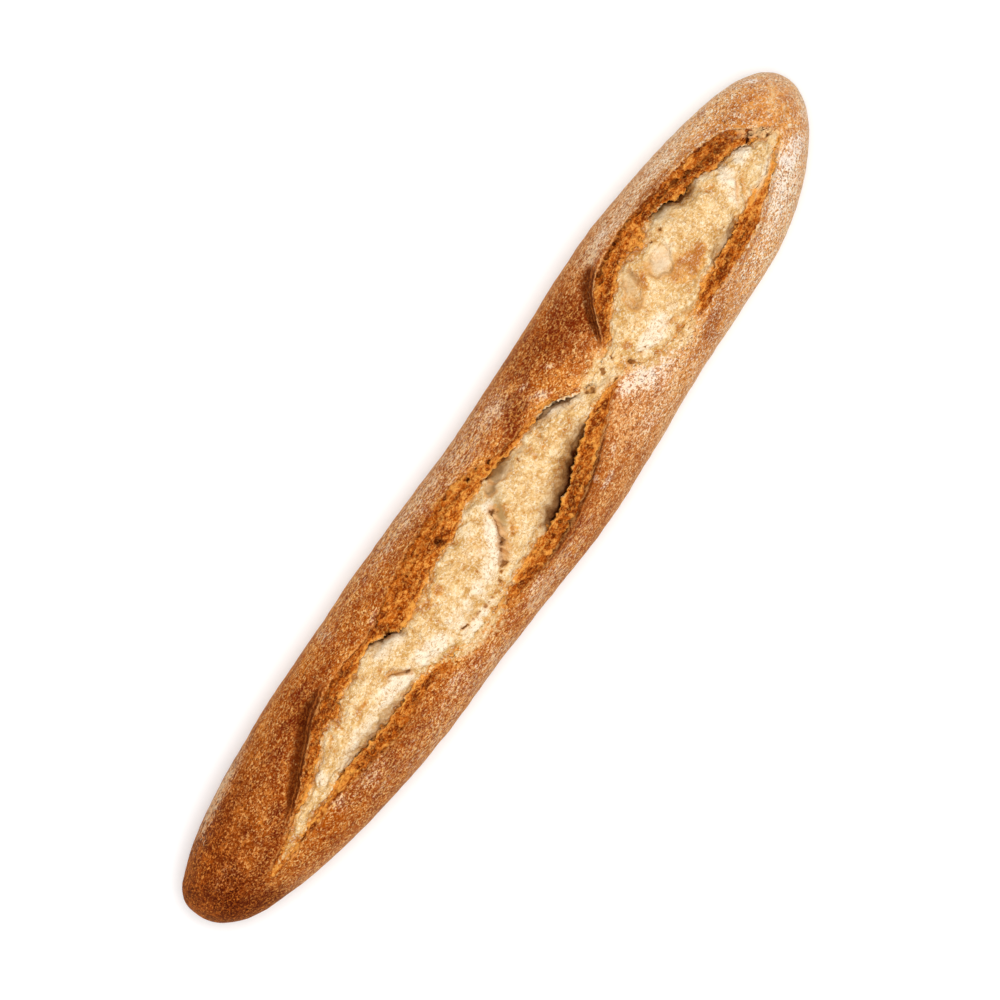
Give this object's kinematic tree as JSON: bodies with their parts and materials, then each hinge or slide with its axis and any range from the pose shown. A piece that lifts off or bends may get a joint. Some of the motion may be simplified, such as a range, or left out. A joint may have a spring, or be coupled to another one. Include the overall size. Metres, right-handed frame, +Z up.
{
  "type": "baguette",
  "caption": "Short, thick crusty baguette, slashed along its crest, with torn crust flaps over pale opened crumb.",
  "frame": {"origin": "on the surface it rests on, under the middle of the loaf's bounding box", "axes": "+X along the loaf towards its paler end, +Y towards the side with the tallest crust flap, +Z up"},
  "size_m": [0.4, 0.0718, 0.0537],
  "materials": {
    "crust": "Dry baked crust, orange-brown and darker at one end, mottled and dusted with flour, with pale cream crumb showing in the opened slashes"
  },
  "bodies": {
    "root": {"baguette": "crust"}
  },
  "joints": []
}
